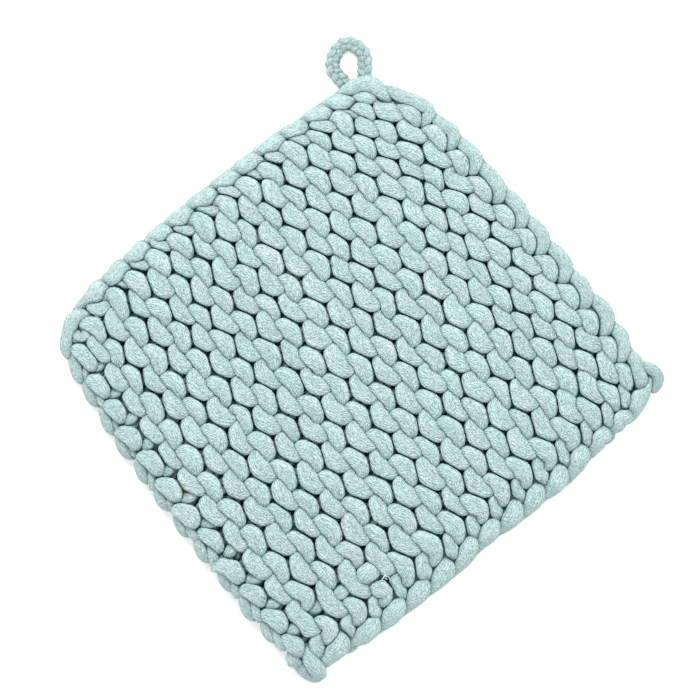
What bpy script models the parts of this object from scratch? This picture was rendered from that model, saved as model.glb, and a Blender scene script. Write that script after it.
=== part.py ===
"""Square pot holder knitted in garter stitch from one thick soft cotton cord.

The square lies flat, right side up. Its garter ridges run along X, from the
cast-on edge at -Y to the bind-off edge at +Y, and +Z is up. The origin is the
middle of the underside. A thin knitted cord makes the hanging loop at the
(-X, +Y) corner, and the two ends of the thick cord show at the (+X, +Y) and
(+X, -Y) corners.

Metres throughout. Plan sizes in the tables are in millimetres.
"""

import math

import bmesh
import bpy
from mathutils import Vector

MM = 0.001

# ---- driving sizes (mm) ------------------------------------------------------
THICKNESS = 14.6        # crest of the upper ridges above the surface
RIM_ROUND = 6.6         # how far in from the edge the rounding of the rim reaches
RIM_LIFT = 6.4          # height of the outermost line of the rim
FOOT_ROUND = 3.4        # how far in the underside leaves the surface
GROOVE_DEPTH = 4.6      # furrow between two ridges
GROOVE_HALF = 1.75      # half width of a furrow at its shoulders
RIDGE_CROWN = 0.55      # fall of a ridge from its crest to its shoulders
STITCH = 15.6           # width of one stitch along a ridge
NIBBLE = 0.45           # how far each stitch's bulge moves the furrow line

LOOP_CORD = 5.7         # thickness of the hanging loop's cord
END_CORD = 5.0          # thickness of the curled end at the bind-off corner
STUB_CORD = 6.6         # thickness of the stub at the cast-on corner
GAP = 0.3               # clear space between neighbouring pieces

SIDES_AROUND = 12       # facets round a cord

# ---- outline: how far each edge lies from the middle -------------------------
# share: position along the edge, 0 at its -X or -Y end, 1 at its +X or +Y end
# out:   distance of the edge from the axis through the middle
CAST_ON_EDGE = [        # -Y edge, share runs along +X
    # share, out
    (0.00, 91.1), (0.03, 91.8), (0.06, 92.6), (0.10, 94.6), (0.15, 96.4),
    (0.20, 98.2), (0.30, 99.8), (0.40, 101.8), (0.50, 103.3), (0.60, 104.6),
    (0.70, 105.6), (0.80, 105.6), (0.87, 104.8), (0.92, 103.0), (0.96, 99.8),
    (1.00, 95.0),
]
BIND_OFF_EDGE = [       # +Y edge, share runs along +X
    (0.00, 88.0), (0.03, 91.9), (0.06, 96.2), (0.10, 99.6), (0.15, 101.8),
    (0.20, 103.8), (0.30, 104.4), (0.40, 103.5), (0.50, 105.6), (0.60, 106.7),
    (0.70, 105.5), (0.80, 104.1), (0.88, 102.8), (0.93, 101.0), (0.97, 97.6),
    (1.00, 93.3),
]
LEFT_EDGE = [           # -X edge, share runs along +Y
    (0.00, 89.3), (0.03, 93.5), (0.06, 96.8), (0.10, 99.0), (0.15, 100.9),
    (0.20, 101.4), (0.30, 102.3), (0.40, 102.2), (0.50, 101.8), (0.60, 101.2),
    (0.70, 100.3), (0.80, 98.6), (0.90, 96.6), (0.95, 94.9), (1.00, 91.5),
]
RIGHT_EDGE = [          # +X edge, share runs along +Y
    (0.00, 88.5), (0.03, 93.6), (0.06, 95.4), (0.10, 96.8), (0.15, 98.6),
    (0.20, 99.2), (0.30, 100.4), (0.40, 100.9), (0.50, 99.6), (0.60, 101.4),
    (0.70, 101.9), (0.80, 100.4), (0.90, 99.4), (0.95, 96.9), (1.00, 92.8),
]

# ---- furrows between the garter ridges ---------------------------------------
# height along Y of each furrow at three places across the square (mm):
# near the -X edge, at the middle, near the +X edge
FURROWS = [
    # left,  middle, right
    (-81.0, -89.8, -91.6),
    (-69.0, -74.8, -75.8),
    (-55.4, -60.7, -62.0),
    (-43.0, -46.6, -47.6),
    (-30.0, -33.2, -34.6),
    (-18.0, -19.4, -20.2),
    (-4.6,  -5.6,  -6.4),
    (8.7,    8.2,   6.7),
    (21.2,  21.1,  19.7),
    (34.2,  34.8,  32.6),
    (47.2,  49.1,  46.0),
    (59.6,  63.2,  59.2),
    (71.2,  74.6,  72.2),
    (82.0,  86.0,  84.8),
]
FURROW_AT = (-82.0, 1.8, 85.4)   # X of those three places

# ---- courses of the three cords, in plan and height --------------------------
LOOP_COURSE = [         # from the bind-off side leg round the eye to the other
    # x,     y,    z
    (-93.0, 88.2, 3.2), (-95.2, 90.5, 3.1), (-99.6, 94.1, 3.0),
    (-104.0, 94.9, 2.9), (-108.9, 92.8, 2.9), (-110.2, 88.6, 2.9),
    (-108.6, 83.8, 2.9), (-104.8, 80.2, 2.9), (-99.6, 79.9, 3.0),
    (-94.9, 80.1, 3.1),
]
END_COURSE = [          # the curled end of the bind-off
    (86.4, 104.8, 7.4), (89.0, 105.8, 7.8), (92.0, 104.6, 7.6),
    (94.3, 101.3, 6.8), (95.4, 97.7, 6.0), (95.7, 94.4, 5.4),
]
STUB_COURSE = [         # the stub of the cast-on
    (87.6, -100.7, 6.4), (89.9, -99.1, 6.6), (92.3, -97.1, 6.6),
    (94.5, -95.0, 6.4),
]

COLOURS = {
    "square": (0.512, 0.690, 0.680, 1.0),
    "loop": (0.500, 0.685, 0.672, 1.0),
    "ends": (0.505, 0.680, 0.668, 1.0),
}


def read_along(table, share):
    """Value of a two-column table at this share, eased between its rows."""
    for (a, va), (b, vb) in zip(table, table[1:]):
        if share <= b:
            f = (share - a) / (b - a)
            return va + (vb - va) * f
    return table[-1][1]


def smooth_read(table, share, reach=0.018):
    """The same, averaged over a short reach, so that no row makes a kink."""
    picks = [min(1.0, max(0.0, share + reach * k)) for k in (-1.5, -0.5, 0.5, 1.5)]
    return sum(read_along(table, p) for p in picks) / len(picks)


def plan_point(s, t):
    """Plan position (mm) of the point at shares s across and t up the square."""
    left, right = -smooth_read(LEFT_EDGE, t), smooth_read(RIGHT_EDGE, t)
    low, high = -smooth_read(CAST_ON_EDGE, s), smooth_read(BIND_OFF_EDGE, s)
    return left + (right - left) * s, low + (high - low) * t


def furrow_y(furrow, x):
    """Y of a furrow at this x, on a parabola through its three places."""
    (x0, x1, x2), (y0, y1, y2) = FURROW_AT, furrow
    a = y0 * (x - x1) * (x - x2) / ((x0 - x1) * (x0 - x2))
    b = y1 * (x - x0) * (x - x2) / ((x1 - x0) * (x1 - x2))
    c = y2 * (x - x0) * (x - x1) / ((x2 - x0) * (x2 - x1))
    return a + b + c + NIBBLE * math.cos(2 * math.pi * x / STITCH)


def share_of_y(s, y):
    """The share t at which the plan reaches this y, on the line at share s."""
    low = -smooth_read(CAST_ON_EDGE, s)
    high = smooth_read(BIND_OFF_EDGE, s)
    return (y - low) / (high - low)


def x_at(s):
    """A first reading of x on the line at share s, halfway up."""
    return plan_point(s, 0.5)[0]


def ring_shares(length, reach):
    """Shares of the rim's own lines, counted in from an end of this length."""
    return [0.0] + [reach * f / length for f in (0.10, 0.32, 0.64, 1.0)]


def section_shares(count, length):
    """Shares across the square: the rim's lines and even steps between them."""
    rim = ring_shares(length, RIM_ROUND)
    inner = [
        rim[-1] + (1 - 2 * rim[-1]) * k / (count + 1) for k in range(1, count + 1)
    ]
    return rim + inner + [1 - r for r in reversed(rim)]


def rim_rise(distance, reach):
    """0 at the rim's outermost line, 1 where its rounding ends, on an arc."""
    f = min(1.0, max(0.0, distance / reach))
    return math.sqrt(1 - (1 - f) ** 2)


def square_mesh():
    """The knitted square: ridged top, rounded rim and flat underside."""
    across = section_shares(20, 200.0)
    mesh = bpy.data.meshes.new("knitted_square")
    bm = bmesh.new()
    tops, bottoms = [], []
    for s in across:
        column_top, column_bottom = [], []
        # lines up the square: the rim, then each furrow with its two shoulders,
        # with one line along the crest of the ridge between two furrows
        x = x_at(s)
        rim = ring_shares(208.0, RIM_ROUND)
        inner = []
        lines = [furrow_y(f, x) for f in FURROWS]
        crest_before = None
        for y in lines:
            if crest_before is not None:
                inner.append((0.5 * (crest_before + y), "crest"))
            inner.append((y - GROOVE_HALF, "shoulder"))
            inner.append((y, "furrow"))
            inner.append((y + GROOVE_HALF, "shoulder"))
            crest_before = y
        shares = [(r, "rim") for r in rim]
        shares += [(share_of_y(s, y), kind) for y, kind in inner]
        shares += [(1 - r, "rim") for r in reversed(rim)]
        for t, kind in shares:
            px, py = plan_point(s, t)
            near_side = min(s, 1 - s) * 200.0
            near_end = min(t, 1 - t) * 208.0
            rise = rim_rise(near_side, RIM_ROUND) * rim_rise(near_end, RIM_ROUND)
            fall = {"furrow": GROOVE_DEPTH, "shoulder": RIDGE_CROWN}.get(kind, 0.0)
            # furrows fade out where the edge strands run over them
            fade = rim_rise(max(0.0, near_side - 2.5), 5.0)
            top = RIM_LIFT + (THICKNESS - RIM_LIFT) * rise - fall * fade * rise
            low = rim_rise(near_side, FOOT_ROUND) * rim_rise(near_end, FOOT_ROUND)
            bottom = RIM_LIFT * (1 - low)
            edge = s in (0.0, 1.0) or t in (0.0, 1.0)
            v = bm.verts.new((px * MM, py * MM, (RIM_LIFT if edge else top) * MM))
            column_top.append(v)
            if edge:
                column_bottom.append(v)
            else:
                column_bottom.append(bm.verts.new((px * MM, py * MM, bottom * MM)))
        tops.append(column_top)
        bottoms.append(column_bottom)
    for a in range(len(tops) - 1):
        for b in range(len(tops[0]) - 1):
            bm.faces.new((tops[a][b], tops[a + 1][b], tops[a + 1][b + 1], tops[a][b + 1]))
            under = (bottoms[a][b], bottoms[a][b + 1], bottoms[a + 1][b + 1], bottoms[a + 1][b])
            bm.faces.new(under)
    bmesh.ops.triangulate(bm, faces=bm.faces[:])
    bmesh.ops.recalc_face_normals(bm, faces=bm.faces[:])
    bm.to_mesh(mesh)
    bm.free()
    return mesh


def smooth_course(points, steps):
    """A smooth curve through these points, read at even steps of its rows."""
    pts = [Vector(p) for p in points]
    pts = [2 * pts[0] - pts[1]] + pts + [2 * pts[-1] - pts[-2]]
    out = []
    for k in range(1, len(pts) - 2):
        p0, p1, p2, p3 = pts[k - 1 : k + 3]
        for n in range(steps):
            f = n / steps
            out.append(
                0.5
                * (
                    2 * p1
                    + (p2 - p0) * f
                    + (2 * p0 - 5 * p1 + 4 * p2 - p3) * f * f
                    + (3 * p1 - p0 - 3 * p2 + p3) * f * f * f
                )
            )
    out.append(pts[-2])
    return out


def rim_outline():
    """The outermost line of the square in plan (mm), round its four edges."""
    steps = [k / 60 for k in range(60)]
    line = [plan_point(f, 0.0) for f in steps]
    line += [plan_point(1.0, f) for f in steps]
    line += [plan_point(1.0 - f, 1.0) for f in steps]
    line += [plan_point(0.0, 1.0 - f) for f in steps]
    return [Vector((x, y, 0.0)) for x, y in line]


def beside_rim(points, clear):
    """These points, each at least this far outside the square's outline."""
    outline = rim_outline()
    out = []
    for point in points:
        flat = Vector((point.x, point.y, 0.0))
        best, way = None, None
        for a, b in zip(outline, outline[1:] + outline[:1]):
            along = b - a
            f = max(0.0, min(1.0, (flat - a).dot(along) / along.length_squared))
            near = a + along * f
            if best is None or (flat - near).length < (flat - best).length:
                best, way = near, Vector((along.y, -along.x, 0.0)).normalized()
        away = flat - best
        outside = away.dot(way) > 0
        if outside and away.length >= clear:
            out.append(point)
            continue
        if outside and away.length > 1e-6:
            way = away.normalized()
        moved = best + way * clear
        out.append(Vector((moved.x, moved.y, point.z)))
    return out


def cord_mesh(name, line, thickness, flat=1.0, blunt=0.55):
    """A closed cord of this thickness along a line, with rounded ends."""
    mesh = bpy.data.meshes.new(name)
    bm = bmesh.new()
    rings = []
    radius = thickness / 2
    side = None
    for k, point in enumerate(line):
        ahead = line[min(k + 1, len(line) - 1)] - line[max(k - 1, 0)]
        ahead.normalize()
        if side is None:
            side = ahead.cross(Vector((0, 0, 1))).normalized()
        side = (side - ahead * side.dot(ahead)).normalized()
        up = side.cross(ahead).normalized()
        from_end = min(k, len(line) - 1 - k)
        size = radius * (blunt if from_end == 0 else 0.86 if from_end == 1 else 1.0)
        ring = []
        for n in range(SIDES_AROUND):
            turn = 2 * math.pi * n / SIDES_AROUND
            offset = side * math.cos(turn) * size + up * math.sin(turn) * size * flat
            ring.append(bm.verts.new((point + offset) * MM))
        rings.append(ring)
    for lower, upper in zip(rings, rings[1:]):
        for n in range(SIDES_AROUND):
            m = (n + 1) % SIDES_AROUND
            bm.faces.new((lower[n], lower[m], upper[m], upper[n]))
    bm.faces.new(rings[0][::-1])
    bm.faces.new(rings[-1])
    bmesh.ops.triangulate(bm, faces=bm.faces[:])
    bmesh.ops.recalc_face_normals(bm, faces=bm.faces[:])
    bm.to_mesh(mesh)
    bm.free()
    return mesh


def cotton(name, colour, roughness):
    """Matt cotton cord."""
    material = bpy.data.materials.new(name)
    material.use_nodes = True
    shader = material.node_tree.nodes["Principled BSDF"]
    shader.inputs["Base Color"].default_value = colour
    shader.inputs["Roughness"].default_value = roughness
    shader.inputs["Metallic"].default_value = 0.0
    return material


def place(name, mesh, material):
    """One named object for this piece."""
    piece = bpy.data.objects.new(name, mesh)
    mesh.materials.append(material)
    mesh.shade_smooth()
    mesh.set_sharp_from_angle(angle=math.radians(38))
    bpy.context.scene.collection.objects.link(piece)
    return piece


def main():
    for old in list(bpy.data.objects):
        bpy.data.objects.remove(old, do_unlink=True)

    place("knitted_square", square_mesh(), cotton("square_cotton", COLOURS["square"], 0.90))
    place(
        "hanging_loop",
        cord_mesh("hanging_loop", smooth_course(LOOP_COURSE, 4), LOOP_CORD),
        cotton("loop_cotton", COLOURS["loop"], 0.90),
    )
    curl = beside_rim(smooth_course(END_COURSE, 3), END_CORD / 2 + GAP)
    place(
        "bind_off_end",
        cord_mesh("bind_off_end", curl, END_CORD),
        cotton("bind_off_cotton", COLOURS["ends"], 0.90),
    )
    stub = beside_rim(smooth_course(STUB_COURSE, 3), STUB_CORD / 2 + GAP)
    place(
        "cast_on_end",
        cord_mesh("cast_on_end", stub, STUB_CORD),
        cotton("cast_on_cotton", COLOURS["ends"], 0.90),
    )


main()
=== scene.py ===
"""Looks of a square pot holder, knitted in garter stitch from one thick cord of
soft cotton strands.

The whole fabric is made as the real one is: each row's cord is led along its
own path, front to back and through the row below, and where two stretches of
cord meet they press each other flat. Rows run along X, numbered from the
cast-on edge at -Y. Even rows carry the heads of the stitches in front, odd
rows their feet, so a ridge is a row of heads over a row of feet.

Sizes in the tables are in millimetres, in the frame's own X, Y and Z.
"""

import math

import bpy
import numpy as np
from mathutils.kdtree import KDTree
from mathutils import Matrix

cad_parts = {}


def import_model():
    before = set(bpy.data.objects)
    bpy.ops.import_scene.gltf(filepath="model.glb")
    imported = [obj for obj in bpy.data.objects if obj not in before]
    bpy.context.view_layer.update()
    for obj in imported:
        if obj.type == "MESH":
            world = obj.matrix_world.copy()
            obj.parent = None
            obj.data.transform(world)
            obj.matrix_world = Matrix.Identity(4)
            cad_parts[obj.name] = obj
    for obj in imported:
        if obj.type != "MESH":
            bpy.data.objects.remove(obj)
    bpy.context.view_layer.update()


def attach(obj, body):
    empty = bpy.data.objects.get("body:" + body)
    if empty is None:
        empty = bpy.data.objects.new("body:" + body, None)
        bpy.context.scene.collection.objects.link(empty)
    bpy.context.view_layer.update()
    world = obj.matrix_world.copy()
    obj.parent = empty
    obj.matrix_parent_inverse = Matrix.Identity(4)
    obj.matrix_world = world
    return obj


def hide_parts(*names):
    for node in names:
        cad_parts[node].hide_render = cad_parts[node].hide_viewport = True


MM = 0.001

# ---- the fabric's sizes (mm) -------------------------------------------------
ROWS = 30               # fifteen garter ridges
STITCHES = 12
WIDTH = 15.6            # one stitch
COURSE = 6.71           # one row
REACH = 6.75            # from a row's own line up to its heads and down to its feet
HEAD_BULGE = 2.75       # how far a stitch widens from its waist to its head
FOOT_BULGE = 3.4        # and to its foot
DEPTH = 3.75            # of the heads and feet from the middle layer
MIDDLE = 7.3            # height of the middle layer
CORD_FLAT = 4.60        # half width of the cord, lying free
ROOF = 3.3              # how much wider it spreads in the middle of a head or foot
SHOULDER = 2.2          # and beside it, where it turns down
CORD_TALL = 3.55        # half height of the cord, lying
SPLIT = 0.13            # what stays open between two stretches pressed together
FURROW_SPLIT = 1.25     # and between two neighbouring ridges, more low down the square
EDGE_SPLIT = 0.50       # and between the strands along a side edge
PROUD = 14.0            # how much more room the heads and feet take than the legs behind them
AROUND = 28             # points round the cord
STEP = 0.97             # between two sections of the cord where it shows
STEP_HIDDEN = 2.1

# ---- where the stitches lie --------------------------------------------------
# WALES: X of the thirteen sides of a ridge's twelve heads, at nine ridges
WALE_RIDGES = (0, 1, 2, 3, 4, 7, 10, 13, 14)
WALES = (
    (-86.2, -72.2, -58.5, -45.3, -31.7, -17.6, -3.1, 11.0, 26.4, 42.2, 56.3, 70.4, 83.6),
    (-93.7, -78.3, -65.1, -50.6, -36.1, -22.0, -7.0, 7.9, 22.9, 38.3, 54.9, 71.9, 87.1),
    (-96.2, -79.5, -65.5, -50.9, -36.1, -21.6, -6.4, 8.6, 24.1, 39.5, 56.0, 72.6, 89.9),
    (-96.6, -80.6, -66.0, -51.2, -36.1, -21.1, -5.9, 9.4, 25.2, 40.6, 56.2, 72.4, 90.5),
    (-96.8, -81.8, -66.4, -51.5, -36.1, -20.7, -5.3, 10.1, 26.4, 41.8, 57.2, 73.3, 90.8),
    (-95.9, -81.0, -66.9, -51.0, -36.1, -20.2, -4.8, 11.4, 27.3, 42.7, 59.0, 74.8, 90.6),
    (-94.2, -78.8, -64.2, -49.3, -33.9, -18.5, -3.1, 12.8, 28.2, 43.6, 59.4, 75.2, 92.0),
    (-87.1, -74.8, -61.6, -47.5, -32.6, -18.0, -3.1, 12.3, 27.3, 42.2, 57.6, 74.4, 92.0),
    (-90.0, -74.4, -60.3, -45.1, -30.6, -14.0, 1.4, 15.8, 31.5, 46.2, 61.0, 74.6, 88.6),
)
# FURROWS: Y of the furrow over each ridge at five places along it
FURROW_X = (-81.8, -42.2, 1.8, 45.8, 85.4)
FURROWS = (
    (-80.9, -86.9, -89.8, -91.2, -92.3),
    (-69.1, -72.6, -74.9, -76.1, -75.6),
    (-55.4, -58.6, -60.7, -61.6, -62.0),
    (-42.9, -44.4, -46.4, -48.0, -47.7),
    (-29.8, -32.1, -33.4, -34.3, -34.8),
    (-18.0, -18.9, -19.4, -20.2, -19.7),
    (-4.6, -5.6, -5.5, -6.4, -6.1),
    (8.7, 8.3, 8.4, 7.0, 6.7),
    (21.0, 22.5, 21.1, 20.6, 19.7),
    (34.0, 34.8, 34.8, 34.4, 32.1),
    (46.9, 48.2, 49.3, 47.9, 46.0),
    (58.9, 63.1, 63.7, 61.7, 58.7),
    (70.9, 75.2, 74.6, 74.4, 71.8),
    (80.9, 86.6, 86.5, 85.6, 83.4),
)
BELOW = (-10.6, -13.0, -13.4, -13.4, -12.6)     # from the lowest furrow to where one more would lie
ABOVE = (12.5, 12.8, 12.9, 11.8, 9.3)           # and from the highest one
# how far out the two side edges reach, at heights up the square
LEFT_RIM = (
    # y, x
    (-90.2, -90.2), (-85.8, -93.3), (-81.4, -95.9), (-77.0, -97.7), (-72.6, -99.0),
    (-63.8, -101.1), (-50.6, -101.6), (-33.0, -102.5), (0.0, -102.1), (28.6, -100.9),
    (41.8, -100.2), (50.6, -98.8), (59.4, -97.9), (68.2, -96.9), (74.8, -95.7),
    (80.1, -95.4), (84.3, -94.5), (88.9, -90.8), (91.2, -87.1),
)
RIGHT_RIM = (
    (-94.6, 95.0), (-85.8, 95.3), (-77.0, 96.6), (-68.2, 98.5), (-55.0, 99.5),
    (-37.4, 100.3), (-19.8, 101.0), (-6.6, 99.5), (2.2, 99.8), (15.4, 101.4),
    (28.6, 101.3), (41.8, 102.4), (55.0, 100.4), (68.2, 99.4), (81.4, 99.0),
    (87.5, 97.2), (90.2, 95.5), (94.2, 92.4), (96.4, 88.0),
)

# where the fabric parts between two heads, a knitter's slip in one wale:
# row, side of the heads, how far what lies left and right of it moves
SLIPS = (
    (6, 11, -2.6, 6.4), (4, 11, -2.0, 4.0), (2, 11, -0.8, 4.2),
    (7, 11, -1.6, 2.6), (5, 11, -2.2, 2.4), (3, 11, -2.0, 2.4), (1, 11, -1.2, 2.0),
)

SEED = 20


# ---- small tools -------------------------------------------------------------
def spline_weights(f):
    """Weights of the four neighbours at share f between the middle two."""
    f2, f3 = f * f, f * f * f
    return (
        -0.5 * f3 + f2 - 0.5 * f,
        1.5 * f3 - 2.5 * f2 + 1.0,
        -1.5 * f3 + 2.0 * f2 + 0.5 * f,
        0.5 * f3 - 0.5 * f2,
    )


def padded_rows(table, before, after):
    """The table with rows added at both ends in the line of its last two."""
    rows = [np.asarray(r, float) for r in table]
    low, high = rows[0] - rows[1], rows[-1] - rows[-2]
    head = [rows[0] + low * k for k in range(before, 0, -1)]
    tail = [rows[-1] + high * k for k in range(1, after + 1)]
    return np.array(head + rows + tail)


def read_spline(points, count):
    """count points along a smooth curve through the given ones, closely even."""
    p = padded_rows(points, 1, 1)
    n = len(p) - 3
    fine = np.linspace(0, n - 1e-9, n * 40)
    i = fine.astype(int)
    w = spline_weights(fine - i)
    q = sum(w[k][:, None] * p[i + k] for k in range(4))
    s = np.concatenate([[0], np.cumsum(np.linalg.norm(np.diff(q[:, :3], axis=0), axis=1))])
    at = np.linspace(0, s[-1], count)
    return np.stack([np.interp(at, s, q[:, k]) for k in range(q.shape[1])], 1)


# ---- the grid of the fabric --------------------------------------------------
def all_wales():
    """X of the sides of the heads, a row for every ridge, two more all round."""
    w = np.array(WALES)
    rows = [
        [np.interp(r, WALE_RIDGES, w[:, k]) for k in range(STITCHES + 1)]
        for r in range(ROWS // 2)
    ]
    wide = padded_rows(np.array(rows).T, 3, 3).T
    return np.concatenate([wide[:1]] * 3 + [wide] + [wide[-1:]] * 3)


def all_furrows():
    """Y of the furrows, three more below and above at an even spacing."""
    f = np.array(FURROWS)
    low = [f[0] + np.array(BELOW) * k for k in (3, 2, 1)]
    high = [f[-1] + np.array(ABOVE) * k for k in (1, 2, 3)]
    return padded_rows(np.concatenate([low, f, high]).T, 2, 2).T


WALE_GRID, FURROW_GRID = all_wales(), all_furrows()


def read_grid(grid, u, v):
    """Smooth value of a grid at rows u and columns v."""
    u = np.clip(u, 1, grid.shape[0] - 2.001)
    v = np.clip(v, 1, grid.shape[1] - 2.001)
    i, j = u.astype(int), v.astype(int)
    a, b = spline_weights(u - i), spline_weights(v - j)
    return sum(a[m] * b[n] * grid[i + m - 1, j + n - 1] for m in range(4) for n in range(4))


def place(a, row):
    """X and Y of the point a stitches along and row rows up the fabric."""
    a, row = np.broadcast_arrays(np.asarray(a, float), np.asarray(row, float))
    x = read_grid(WALE_GRID, (row - 1) / 2 + 3, a + 3)
    station = np.interp(x, FURROW_X, range(5)) + (
        np.minimum(x - FURROW_X[0], 0) + np.maximum(x - FURROW_X[-1], 0)
    ) / 41.0
    y = read_grid(FURROW_GRID, (row - 1.5) / 2 + 3, station + 2)
    return x, y


# ---- one row of stitches -----------------------------------------------------
def eased(values, t):
    """Values given at each half turn, blended smoothly between."""
    k = np.clip(t / math.pi, 0, len(values) - 1.001)
    i = k.astype(int)
    f = k - i
    f = f * f * (3 - 2 * f)
    return values[i] * (1 - f) + values[i + 1] * f


def row_path(j, rng):
    """Centre of row j's cord, left to right: x, y, z, half width, half height."""
    even = j % 2 == 0
    first, last = (0.43, 23.57) if even else (0.02, 23.98)
    if j == 1:
        first = 0.56                            # the corner's strand stands for its half foot
    if j == ROWS - 2:
        first = 1.50                            # its first head is the corner's arc
    if j == ROWS - 1:
        first = 1.45                            # its half foot is made apart
    t = np.linspace(first * math.pi, last * math.pi, 1400)
    lobes = 2 * STITCHES + 2
    shift = eased(rng.normal(0, 0.54, lobes), t)
    lift = eased(rng.normal(0, 0.48, lobes), t)
    rise = eased(rng.normal(0, 0.30, lobes), t)
    thick = eased(1 + rng.normal(0, 0.06, lobes), t)
    lean = rng.normal(0, 0.72, lobes)
    if j == ROWS - 1:                           # the last rows slant up to the right
        lean[2:21] -= 1.4
        lean[2:9] -= 0.6
    elif j == ROWS - 3:
        lean[2:21] -= 0.7
    elif j == 0:                                # and the first heads more so
        lean[1::2] = lean[1::2] * 0.3 - 1.2
        lean[23] += 1.1
    lean = eased(lean, t)
    c = -np.cos(t)                              # 1 at a head, -1 at a foot
    head = np.clip(c, 0, 1)
    foot = np.clip(-c, 0, 1)
    up = REACH * c
    if j == 0:
        up = np.where(c < 0, up * -0.05, up * 0.88)
    if j == 1:
        up = np.where(c < 0, up * 0.70, up)
    if j == ROWS - 1:
        up = np.where(c > 0, up * 0.40, up)
    bulge = np.where(c > 0, 3.4 if j == 0 else HEAD_BULGE, 3.0 if j == 1 else FOOT_BULGE)
    a = t / (2 * math.pi) + (bulge / WIDTH) * np.sin(2 * t)
    x, y = place(a, j + up / COURSE)
    front = 1 if even else -1
    z = front * DEPTH * np.sign(c) * np.abs(c) ** 1.25
    if j == ROWS - 1:
        z = np.where(c > 0, z * 0.8, z)
    if j == 1:                                  # the cast-on edge lies low
        z = np.where(c < 0, z * 0.30, z)
    y = y + lift - lean * np.sin(2 * t)
    bump = lambda at, half: np.exp(-(((a - at) / half) ** 4))
    if j == 0:                                  # the lowest heads do not hang below the edge
        y = y + 3.6 * (1 - head) ** 2 + 1.3 * bump(0.5, 0.42)
        z = z - 1.6 * (1 - head) ** 2 * (c > -0.2)
    elif j == 1:                                # a small first foot by the corner
        x = x - (a - 1.0) * WIDTH * 0.26 * bump(1.0, 0.42)
    elif j == 2:
        y = y - 1.9 * bump(0.5, 0.42)
    elif j == 3:
        x = x + 0.7 * bump(0.0, 0.40)
        y = y - 1.2 * bump(0.0, 0.40)
    elif j == ROWS - 2:
        y = y + 0.35 * head
    if not even:                                # the half foot at either edge slants and sinks
        edge = np.minimum(t, 24 * math.pi - t) / (0.40 * math.pi)
        low = 0.80 if j == ROWS - 1 else 0.55
        z = z * (low + (1 - low) * np.clip(edge, 0, 1))
        if j > 1:
            left = np.clip(1 - t / (0.5 * math.pi), 0, 1)
            right = np.clip(1 - (24 * math.pi - t) / (0.5 * math.pi), 0, 1)
            x = x + {3: 2.3, 5: 0.8, ROWS - 1: 1.0}.get(j, -1.4) * left + 1.4 * right
            y = y - {3: 4.2, 5: 4.6, ROWS - 1: 1.6}.get(j, 3.0) * left - 2.6 * right
    for row, side, left, right in SLIPS:
        if row == j:
            near = a - side
            step = 0.5 + 0.5 * np.tanh(near * 7)
            x = x + (left + (right - left) * step) * np.exp(-((near / 0.62) ** 4))
    x = x + shift
    z = z + rise
    squeeze = 0.86 + 0.14 * np.maximum(head, foot) ** 0.5
    out = np.maximum(head, foot)
    flat = CORD_FLAT * thick * squeeze + ROOF * out**3 + SHOULDER * 4 * out * (1 - out)
    tall = CORD_TALL * thick * squeeze
    if j == 1:
        flat = np.where(c < 0, flat * (0.80 - 0.16 * bump(1.0, 0.42)), flat)
    if j == 0:
        flat = np.where(c > 0, flat * 0.82, CORD_FLAT * thick * 0.96) * (0.70 + 0.30 * np.clip(np.abs(c) / 0.5, 0, 1))
    if j == ROWS - 2:
        flat = np.where(c > 0, flat * 1.09, flat)
    path = np.stack([x, y, MIDDLE + z, flat, tall], 1)
    if even:                                    # the legs at both edges go on behind
        m = j // 2
        x0, y0 = (float(v) for v in ridge_middle(m, 0.0))
        x1, y1 = (float(v) for v in ridge_middle(m, 12.0))
        tail = [(x1 - 1.0, y1 - 4.6, MIDDLE - 0.55 * DEPTH, 3.3, 3.0),
                (x1 + 2.2, y1 - 5.4, MIDDLE - 0.75 * DEPTH, 3.1, 2.9),
                (x1 + 3.4, y1 - 2.0, MIDDLE - 0.55 * DEPTH, 3.1, 2.9),
                (x1 + 2.6, y1 + 2.4, MIDDLE - 0.25 * DEPTH, 3.1, 2.9),
                (x1 + 0.8, y1 + 5.2, MIDDLE - 0.02 * DEPTH, 3.0, 2.8),
                (x1 - 1.8, y1 + 6.4, MIDDLE - 0.50 * DEPTH, 2.7, 2.5)]
        if j == 0:
            tail = [(x1 - 0.6, y1 - 1.2, MIDDLE - 0.60 * DEPTH, 3.1, 2.9)]
        path = np.concatenate([path, read_spline([path[-1]] + tail, 50)[1:]])
        if j < ROWS - 2:
            lead = [(x0 + 1.8, y0 + 6.4, MIDDLE - 0.50 * DEPTH, 2.7, 2.5),
                    (x0 - 0.6, y0 + 5.2, MIDDLE - 0.02 * DEPTH, 3.0, 2.8),
                    (x0 - 2.2, y0 + 2.4, MIDDLE - 0.25 * DEPTH, 3.1, 2.9),
                    (x0 - 2.6, y0 - 2.0, MIDDLE - 0.55 * DEPTH, 3.1, 2.9),
                    (x0 + 0.6, y0 - 4.8, MIDDLE - 0.60 * DEPTH, 3.3, 3.0)]
            if j == 0:
                lead = [(x0 + 2.0, y0 - 1.0, MIDDLE - 0.60 * DEPTH, 3.1, 2.9)]
            path = np.concatenate([read_spline(lead + [path[0]], 50)[:-1], path])
    return path


def ridge_middle(m, a):
    """Middle of ridge m at the place a stitches along."""
    return place(a, 2 * m + 0.5)


def rim_x(table, y):
    ys, xs = zip(*table)
    return float(np.interp(y, ys, xs))


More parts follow.
